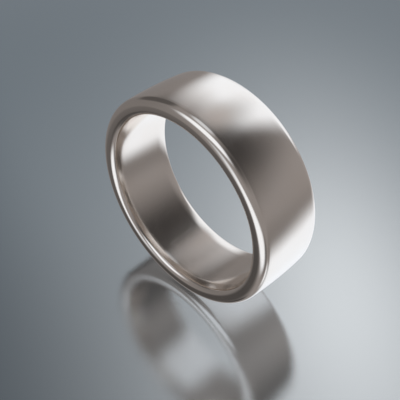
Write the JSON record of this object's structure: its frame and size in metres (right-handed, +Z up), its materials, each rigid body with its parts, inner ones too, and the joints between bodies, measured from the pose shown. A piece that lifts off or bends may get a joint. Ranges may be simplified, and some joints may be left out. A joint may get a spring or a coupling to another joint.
{
  "type": "wedding band",
  "caption": "Plain wedding band in warm white metal: near-flat outside, softened edges and a comfort-fit finger hole.",
  "frame": {"origin": "centre of the finger hole, midway between the two side faces", "axes": "+Y along the finger axis; +Z up, with the band standing on its rim"},
  "size_m": [0.0238, 0.008, 0.0238],
  "materials": {
    "white_gold": "polished white gold, slightly warm, with fine polishing lines"
  },
  "bodies": {
    "root": {"band": "white_gold"}
  },
  "joints": []
}
